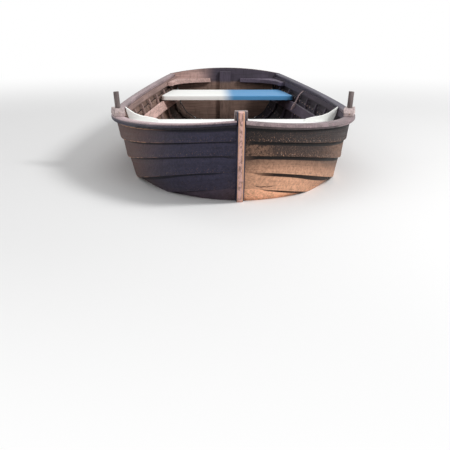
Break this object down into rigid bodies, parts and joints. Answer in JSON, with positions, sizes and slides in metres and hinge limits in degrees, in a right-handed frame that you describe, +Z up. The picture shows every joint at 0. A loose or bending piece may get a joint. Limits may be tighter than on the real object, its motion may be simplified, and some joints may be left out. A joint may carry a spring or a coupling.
{
  "type": "rowing boat",
  "caption": "Open clinker-planked rowing boat with raked stem, flat transom, rounded rails, bent ribs, white thwarts with standing knees and thole pins on blocks.",
  "frame": {"origin": "on the water plane, amidships on the centreline", "axes": "+X to port, +Y aft, +Z up; the bow points along -Y"},
  "size_m": [1.548, 4.0525, 0.692],
  "materials": {
    "tarred_planking": "tarred and weathered",
    "weathered_rail": "bare, weathered grey brown",
    "inner_timber": "worn reddish brown",
    "white_paint": "white oil paint",
    "rope": "weathered three-strand rope"
  },
  "bodies": {
    "root": {"strake_1_port": "tarred_planking", "strake_1_starboard": "tarred_planking", "strake_2_port": "tarred_planking", "strake_2_starboard": "tarred_planking", "strake_3_port": "tarred_planking", "strake_3_starboard": "tarred_planking", "strake_4_port": "tarred_planking", "strake_4_starboard": "tarred_planking", "strake_5_port": "tarred_planking", "strake_5_starboard": "tarred_planking", "strake_6_port": "tarred_planking", "strake_6_starboard": "tarred_planking", "strake_7_port": "tarred_planking", "strake_7_starboard": "tarred_planking", "stem": "tarred_planking", "apron": "weathered_rail", "keel": "tarred_planking", "hog": "inner_timber", "transom": "tarred_planking", "stern_post": "inner_timber", "cap_rail_port": "weathered_rail", "cap_rail_starboard": "weathered_rail", "rub_rail_port": "weathered_rail", "rub_rail_starboard": "weathered_rail", "inwale_rail_port": "inner_timber", "inwale_rail_starboard": "inner_timber", "rib_1": "inner_timber", "rib_2": "inner_timber", "rib_3": "inner_timber", "rib_4": "inner_timber", "rib_5": "inner_timber", "rib_6": "inner_timber", "rib_7": "inner_timber", "rib_8": "inner_timber", "rib_9": "inner_timber", "rib_10": "inner_timber", "rib_11": "inner_timber", "thwart_fore": "white_paint", "thwart_aft": "white_paint", "thwart_knee_port": "white_paint", "thwart_knee_starboard": "white_paint", "riser_port": "inner_timber", "riser_starboard": "inner_timber", "quarter_knee_port": "inner_timber", "quarter_knee_starboard": "inner_timber", "breasthook": "inner_timber", "bottom_board_middle": "inner_timber", "bottom_board_port": "inner_timber", "bottom_board_starboard": "inner_timber", "thole_block_port": "weathered_rail", "thole_block_starboard": "weathered_rail", "thole_pin_port": "weathered_rail", "thole_pin_starboard": "weathered_rail", "rope_tail": "rope", "rope_end": "rope"}
  },
  "joints": []
}
